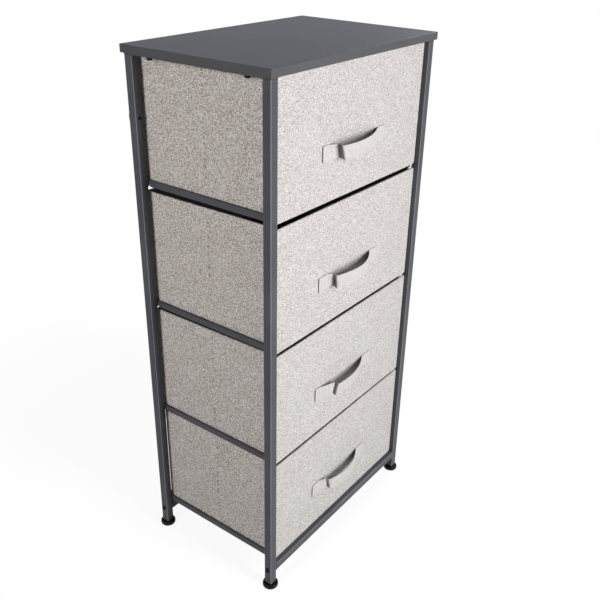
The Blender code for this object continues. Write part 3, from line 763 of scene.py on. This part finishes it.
class BinWall:
    """The wall of a bin: its plan, its heights, and how it lies out of its plan and below its level."""

    def __init__(self, index):
        low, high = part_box(f"drawer_{index}_bin")
        high = (high[0], high[1] + REAR_REACHES[index], high[2])
        self.index = index
        _, self.front, self.bottom = low
        _, self.rear, self.top = high
        self.side_start = high[0] - SIDE_BAND
        self.plan = bin_plan(low, high)
        self.normals = outward(self.plan)
        self.hem = self.top - HEM_HEIGHT
        start = self.bottom + SOLE_RADIUS
        rise = self.hem - HEM_STEP - start
        self.steps = [start + rise * step / WALL_STEPS for step in range(1, WALL_STEPS + 1)]
        self.band = [self.hem + HEM_STEP]
        self.band += [self.hem + (self.top - RIM_EDGE - self.hem) * share for share in HEM_SHARES]
        self.inside = self.steps[INSIDE_START:] + [self.hem] + self.band[:-1]

    def sag(self, point, height):
        """How far the side walls bulge out halfway up and lean in at the rim, between their corners."""
        x, y = point
        if abs(x) < self.side_start:
            return 0.0
        along = min(1.0, (self.rear - y) / SAG_RUN, (y - self.front) / SAG_RUN)
        up = (height - self.bottom) / (self.top - self.bottom)
        lean = RIM_LEANS[self.index] * (max(0.0, up - LEAN_START) / (1 - LEAN_START)) ** 2
        return along * (BIN_BULGES[self.index] * 4 * up * (1 - up) - lean)

    def relief(self, point, height):
        """How far the outside lies out of the plan, with its unevenness, fold and sag."""
        x, y = point
        place = [value * scale for value, scale in zip((x, y, height), BIN_WAVE_SCALES)]
        place[2] += self.index * BIN_WAVE_STEP
        soft = noise.noise(Vector(place)) * BIN_WAVE
        fold = 0.0
        if abs(x) > self.side_start:
            from_fold = abs(y - (self.front + self.rear) / 2)
            fold = FOLD_DEPTH * max(0.0, 1 - from_fold / (FOLD_WIDTH / 2))
        return soft - fold + self.sag(point, height)

    def dip(self, point, height):
        """How far the wall lies below its level: near the rim, and most behind the front board."""
        x, y = point
        near_rim = max(0.0, (height - self.top + RIM_DIP_HEIGHT) / RIM_DIP_HEIGHT)
        from_side = min(1.0, max(0.0, (self.side_start - abs(x)) / RIM_DIP_SIDE))
        behind = max(0.0, 1 - (y - self.front) / RIM_DIP_DEPTH) * from_side
        back = (y - self.front) / (self.rear - self.front)
        rear_tilt, front_tilt = RIM_TILTS[self.index]
        tilt = front_tilt + (rear_tilt - front_tilt) * back
        if self.index > 1:
            tilt += REAR_RIM_RISE * max(0.0, 1 - (self.rear - y) / REAR_RIM_RUN)
        return (RIM_DIP * behind - tilt) * near_rim

    def loop(self, mesh, height, outs):
        """Vertices along the plan at a height, each moved out by its own value."""
        vertices = []
        for point, (nx, ny), out in zip(self.plan, self.normals, outs):
            place = (point[0] + nx * out, point[1] + ny * out, height - self.dip(point, height))
            vertices.append(mesh.verts.new(place))
        return vertices

    def outer_loop(self, mesh, height, inset):
        """A loop of the outside, which is even at the bottom."""
        calm = min(1.0, (height - self.bottom) / BIN_CALM)
        return self.loop(mesh, height, [self.relief(point, height) * calm - inset for point in self.plan])

    def inner_loop(self, mesh, height, inset):
        """A loop of the inside, or of the lining."""
        return self.loop(mesh, height, [self.sag(point, height) - inset for point in self.plan])


def outer_levels(wall):
    """Heights and insets of a bin's outside, from its soft lower edge to its rim."""
    levels = []
    for angle in QUARTER_TURN:
        turn = math.radians(angle)
        levels.append((wall.bottom + SOLE_RADIUS * (1 - math.cos(turn)), SOLE_RADIUS * (1 - math.sin(turn))))
    levels += [(height, 0.0) for height in wall.steps]
    levels += [(wall.hem, -HEM_RISE * HEM_STEP_SHARE)]
    levels += [(height, -HEM_RISE) for height in wall.band]
    levels += [(wall.top - drop, inset - HEM_RISE) for drop, inset in RIM_ROUNDING]
    return levels


def capped(mesh, loops):
    """Closes a mesh of loops, with faces between them and one at each end."""
    stack(mesh, loops)
    mesh.faces.new(loops[0])
    mesh.faces.new(loops[-1])


def make_bin(index, wall):
    """The bin's linen body with its hem, folds and soft lower edge."""
    name = f"drawer_{index}_bin"
    inner_rim = wall.top - RIM_INNER_DROP
    mesh = bmesh.new()
    loops = [wall.outer_loop(mesh, height, inset) for height, inset in outer_levels(wall)]
    loops.append(wall.inner_loop(mesh, wall.top, BIN_SKIN - RIM_INNER_DROP))
    for height in [inner_rim] + wall.inside[::-1] + [wall.bottom + SOLE_SKIN]:
        loops.append(wall.inner_loop(mesh, height, BIN_SKIN))
    capped(mesh, loops)
    piece = link(f"{name}_body", mesh, SIDE_LINEN, BIN_ANGLE)
    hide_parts(name)
    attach(piece, f"drawer_{index}")


def make_lining(index, wall):
    """The bin's lining, a thin shell inside it with a floor, painted dark as shade inside the bin."""
    outer = BIN_SKIN + LINING_GAP
    under, floor = [wall.bottom + height for height in LINING_FLOOR]
    heights = [under] + wall.inside + [wall.top - LINING_DROP]
    mesh = bmesh.new()
    loops = [wall.inner_loop(mesh, height, outer) for height in heights]
    for height in reversed(heights):
        loops.append(wall.inner_loop(mesh, max(height, floor), outer + LINING_SKIN))
    capped(mesh, loops)
    piece = link(f"drawer_{index}_lining", mesh, LINING_PAINTED_DARK, BIN_ANGLE)
    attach(piece, f"drawer_{index}")


# Base boards

BOARD_EDGE = 0.001
BOARD_SOFT = 0.3 * BOARD_EDGE
BOARD_CORNER = 0.003


def make_base_board(index):
    """The loose board in a bin's bottom, wrapped in cloth, with soft edges."""
    name = f"drawer_{index}_base_board"
    low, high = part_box(name)
    middle_y = (low[1] + high[1]) / 2
    corner_x = high[0] - BOARD_CORNER
    corner_y = (high[1] - low[1]) / 2 - BOARD_CORNER
    thick = high[2] - low[2]
    lower = [(0, BOARD_EDGE), (BOARD_SOFT, BOARD_SOFT), (BOARD_EDGE, 0)]
    upper = [(thick - lift, inset) for lift, inset in reversed(lower)]
    mesh = bmesh.new()
    loops = []
    for lift, inset in lower + upper:
        plan = []
        for side_x, side_y, start in ((1, -1, -90), (1, 1, 0), (-1, 1, 90), (-1, -1, 180)):
            centre = (side_x * corner_x, middle_y + side_y * corner_y)
            plan += arc(centre, BOARD_CORNER - inset, start, start + 90, 6)
        loops.append([mesh.verts.new((x, y, low[2] + lift)) for x, y in plan])
    capped(mesh, loops)
    piece = link(f"{name}_cover", mesh, BOARD_CLOTH, COVER_ANGLE)
    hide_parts(name)
    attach(piece, f"drawer_{index}")


# Strap pulls

STRAP_HALF = 0.088
STRAP_HEIGHT = 0.025
STRAP_THICKNESS = 0.0013
STRAP_GAP = 0.0003
END_CURL = 0.0009
# How far the curl runs level, and how far until it meets the front
END_CURL_RUNS = (0.0012, 0.0045)
TAB_STEPS = 4
TAB_CLEAR = 0.004
FILLET_STEPS = 5
FILLET_SHARE = 0.42
LIFT_RADIUS = 0.018
LIP_RADIUS = 0.0010
FOOT_RADIUS = 0.00045
SHOULDER_RADIUS = 0.0016
ARCH_STEPS = 26
ARCH_END_RADIUS = 0.012
FAR_RUN = 0.006
FAR_STEPS = 3
MITRE_LIMIT = 1.3

# The sewn end lifts to a lip, folds back to a foot and rises to a shoulder, where the arch starts.
# Each place is (along, out from the front) at the strap's upper and at its lower edge.
PULLS = {
    1: {"lift": -0.072, "middle": -0.021, "halves": (0.0880, 0.0870), "bulge": (0.0245, 0.0215),
        "lip": ((-0.0575, 0.0078), (-0.0490, 0.0050)), "foot": ((-0.0545, 0.0038), (-0.0462, 0.0024)),
        "shoulder": (-0.0620, -0.0530)},
    2: {"lift": -0.062, "middle": -0.006, "halves": (0.0830, 0.0700), "bulge": (0.0250, 0.0240),
        "lip": ((-0.0560, 0.0068), (-0.0500, 0.0048)), "foot": ((-0.0530, 0.0032), (-0.0474, 0.0022)),
        "shoulder": (-0.0575, -0.0555)},
    3: {"lift": -0.078, "middle": -0.016, "halves": (0.1050, 0.0780), "bulge": (0.0230, 0.0195),
        "lip": ((-0.0450, 0.0125), (-0.0500, 0.0100)), "foot": ((-0.0405, 0.0095), (-0.0450, 0.0070)),
        "shoulder": (-0.0455, -0.0480)},
    4: {"lift": -0.064, "middle": -0.006, "halves": (0.0720, 0.0670), "bulge": (0.0216, 0.0212),
        "lip": ((-0.0525, 0.0062), (-0.0460, 0.0062)), "foot": ((-0.0495, 0.0028), (-0.0432, 0.0030)),
        "shoulder": (-0.0510, -0.0475)},
}

# Shares of the strap's height with its share of the full thickness there: a soft edge, then a stitched line
STRAP_SECTION = [(0.0, 0.35), (0.012, 0.75), (0.03, 0.97), (0.06, 1.0), (0.085, 0.93), (0.10, 0.80),
                 (0.115, 0.93), (0.15, 1.0), (0.26, 1.0), (0.38, 1.0), (0.5, 1.0)]
STRAP_SECTION += [(1 - share, thick) for share, thick in reversed(STRAP_SECTION[:-1])]

# The strap is thinner from the middle of the lip's arc to the end of the foot's arc
FOLD_THINNING = 0.45
TAB_POINTS = 2 + TAB_STEPS
ARC_POINTS = FILLET_STEPS + 1
LIP_POINT = TAB_POINTS + ARC_POINTS
FOLDED_POINTS = range(LIP_POINT + ARC_POINTS // 2, LIP_POINT + 2 * ARC_POINTS)


def filleted(corners, steps):
    """A path through (x, y, radius) corners, with an arc at each corner that has a radius."""
    path = [corners[0][:2]]
    for before, here, after in zip(corners, corners[1:], corners[2:]):
        x, y, radius = here
        if radius == 0:
            path.append((x, y))
            continue
        back = math.atan2(before[1] - y, before[0] - x)
        ahead = math.atan2(after[1] - y, after[0] - x)
        spread = (ahead - back + math.pi) % (2 * math.pi) - math.pi
        half = abs(spread) / 2
        shorter = min(math.hypot(before[0] - x, before[1] - y), math.hypot(after[0] - x, after[1] - y))
        radius = min(radius, FILLET_SHARE * shorter * math.tan(half))
        reach = radius / math.tan(half)
        bisector = back + spread / 2
        away = radius / math.sin(half)
        centre = (x + away * math.cos(bisector), y + away * math.sin(bisector))
        start = (x + reach * math.cos(back), y + reach * math.sin(back))
        first = math.atan2(start[1] - centre[1], start[0] - centre[0])
        sweep = math.copysign(math.pi - abs(spread), -spread)
        for step in range(steps + 1):
            angle = first + sweep * step / steps
            path.append((centre[0] + radius * math.cos(angle), centre[1] + radius * math.sin(angle)))
    path.append(corners[-1][:2])
    return path


def strap_path(shape, share):
    """The strap's middle line (along, out) at a share of the way from its upper to its lower edge."""

    def between(pair):
        """A value at that share of the way."""
        return pair[0] + (pair[1] - pair[0]) * share

    def place(pair):
        """A place at that share of the way."""
        return [between(values) for values in zip(*pair)]

    lip, foot = place(shape["lip"]), place(shape["foot"])
    shoulder, peak = between(shape["shoulder"]), between(shape["bulge"])
    middle, (left, right) = shape["middle"], shape["halves"]
    end = middle + right

    def out(x):
        """How far the arch stands out."""
        half = left if x < middle else right
        return peak * (1 - ((x - middle) / half) ** 2)

    curl_end, tab_start = [-STRAP_HALF + run for run in END_CURL_RUNS]
    tab_run = shape["lift"] - TAB_CLEAR - tab_start
    corners = [(-STRAP_HALF, END_CURL, 0), (curl_end, END_CURL, 0)]
    corners += [(tab_start + tab_run * step / TAB_STEPS, 0, 0) for step in range(TAB_STEPS)]
    corners += [(shape["lift"], 0, LIFT_RADIUS), (*lip, LIP_RADIUS), (*foot, FOOT_RADIUS)]
    corners += [(shoulder, out(shoulder), SHOULDER_RADIUS)]
    for step in range(2, ARCH_STEPS):
        x = shoulder + (end - shoulder) * step / ARCH_STEPS
        corners.append((x, out(x), 0))
    corners.append((end, 0, ARCH_END_RADIUS))
    far = end + FAR_RUN
    corners += [(far + (STRAP_HALF - far) * step / FAR_STEPS, 0, 0) for step in range(FAR_STEPS + 1)]
    return filleted(corners, FILLET_STEPS)


def path_normals(path):
    """Normals to the left of a path. Each is as long as an offset of one is there, up to a limit."""
    headings = [math.atan2(y2 - y1, x2 - x1) for (x1, y1), (x2, y2) in zip(path, path[1:])]
    headings = [headings[0]] + headings + [headings[-1]]
    normals = []
    for first, last in zip(headings, headings[1:]):
        turn = (last - first + math.pi) % (2 * math.pi) - math.pi
        angle = first + turn / 2 + math.pi / 2
        reach = min(1 / math.cos(turn / 2), MITRE_LIMIT)
        normals.append((reach * math.cos(angle), reach * math.sin(angle)))
    return normals


def make_pull(index):
    """The strap: doubled linen with a stitched line along each edge, arched between its sewn ends."""
    name = f"drawer_{index}_pull"
    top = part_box(name)[1][2]
    half = STRAP_THICKNESS / 2
    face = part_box(f"drawer_{index}_front")[0][1] - STRAP_GAP - half
    mesh = bmesh.new()
    outer, inner = [], []
    for share, thick in STRAP_SECTION:
        path = strap_path(PULLS[index], share)
        normals = path_normals(path)
        z = top - STRAP_HEIGHT * share
        for surface, sign in ((outer, 1), (inner, -1)):
            line = []
            for step, ((x, y), (nx, ny)) in enumerate(zip(path, normals)):
                reach = sign * half * thick * (FOLD_THINNING if step in FOLDED_POINTS else 1.0)
                line.append(mesh.verts.new((x + nx * reach, face - (y + ny * reach), z)))
            surface.append(line)
    two_sided(mesh, (outer, inner))
    piece = link(f"{name}_strap", mesh, STRAP_LINEN, STRAP_ANGLE)
    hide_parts(name)
    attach(piece, f"drawer_{index}")


for index in DRAWERS:
    cover_front(index)
    bin_wall = BinWall(index)
    make_bin(index, bin_wall)
    make_lining(index, bin_wall)
    make_base_board(index)
    make_pull(index)


# Floor, light and camera

FLOOR_HALF = 30.0
FLOOR_COLOUR = (0.35, 0.35, 0.35, 1.0)
FLOOR_ROUGHNESS = 0.9
FLOOR_SPECULAR = 0.1

# The glow's near and far distances from the middle, with its share and its strength at each
GLOW_SPAN = (0.6, 3.5)
GLOW_SHARES = (0.6, 1.0)
GLOW_STRENGTHS = (1.52, 1.0)
WHITE = (1.0, 1.0, 1.0, 1.0)


def seen_rays(tree):
    """One for rays from the camera, mirrors and glass, and otherwise zero."""
    rays = node(tree, "ShaderNodeLightPath").outputs
    direct = math_node(tree, "MAXIMUM", rays["Is Camera Ray"], rays["Is Glossy Ray"])
    return math_node(tree, "MAXIMUM", direct, rays["Is Transmission Ray"])


def stage_floor():
    """A pale floor that keeps the shadow and is white to the camera elsewhere."""
    mesh = bmesh.new()
    bmesh.ops.create_grid(mesh, x_segments=1, y_segments=1, size=FLOOR_HALF)
    material, tree, shader = new_material("floor")
    shader.inputs["Base Color"].default_value = FLOOR_COLOUR
    shader.inputs["Roughness"].default_value = FLOOR_ROUGHNESS
    shader.inputs["Specular IOR Level"].default_value = FLOOR_SPECULAR
    away = node(tree, "ShaderNodeVectorMath", {0: own_place(tree)}, operation="LENGTH").outputs["Value"]
    share = ranged(tree, away, GLOW_SPAN, GLOW_SHARES)
    strength = ranged(tree, away, GLOW_SPAN, GLOW_STRENGTHS)
    glow = node(tree, "ShaderNodeEmission", {"Color": WHITE, "Strength": strength})
    factor = math_node(tree, "MULTIPLY", seen_rays(tree), share)
    inputs = {0: factor, 1: shader.outputs["BSDF"], 2: glow.outputs["Emission"]}
    mixed = node(tree, "ShaderNodeMixShader", inputs)
    tree.links.new(mixed.outputs["Shader"], tree.nodes["Material Output"].inputs["Surface"])
    floor = link("floor", mesh, material)


def world_light(strength):
    """A dim even light that is white to the camera, mirrors and glass."""
    world = bpy.data.worlds.new("studio")
    bpy.context.scene.world = world
    world.use_nodes = True
    tree = world.node_tree
    tree.nodes.clear()
    soft = node(tree, "ShaderNodeBackground", {"Color": WHITE, "Strength": strength})
    white = node(tree, "ShaderNodeBackground", {"Color": WHITE, "Strength": 1.0})
    mixed = node(tree, "ShaderNodeMixShader", {0: seen_rays(tree), 1: soft.outputs[0], 2: white.outputs[0]})
    output = node(tree, "ShaderNodeOutputWorld")
    tree.links.new(mixed.outputs[0], output.inputs["Surface"])


def place_lamp(name, place, aim, width, height, watts):
    """A rectangular area lamp that points at a place."""
    data = bpy.data.lights.new(name, "AREA")
    data.shape = "RECTANGLE"
    data.size = width
    data.size_y = height
    data.energy = watts
    lamp = bpy.data.objects.new(name, data)
    lamp.location = place
    lamp.rotation_euler = (Vector(aim) - Vector(place)).to_track_quat("-Z", "Y").to_euler()
    bpy.context.scene.collection.objects.link(lamp)


def place_camera():
    """The camera of the photograph."""
    data = bpy.data.cameras.new("camera")
    data.lens = CAMERA_LENS
    data.sensor_width = SENSOR_WIDTH
    data.shift_x, data.shift_y = CAMERA_SHIFT
    camera = bpy.data.objects.new("camera", data)
    camera.location = CAMERA_PLACE
    camera.rotation_euler = [math.radians(angle) for angle in CAMERA_TURN]
    bpy.context.scene.collection.objects.link(camera)
    bpy.context.scene.camera = camera


stage_floor()
world_light(WORLD_STRENGTH)
for lamp_values in LAMPS:
    place_lamp(*lamp_values)
place_camera()
bpy.context.scene.view_settings.view_transform = "Standard"
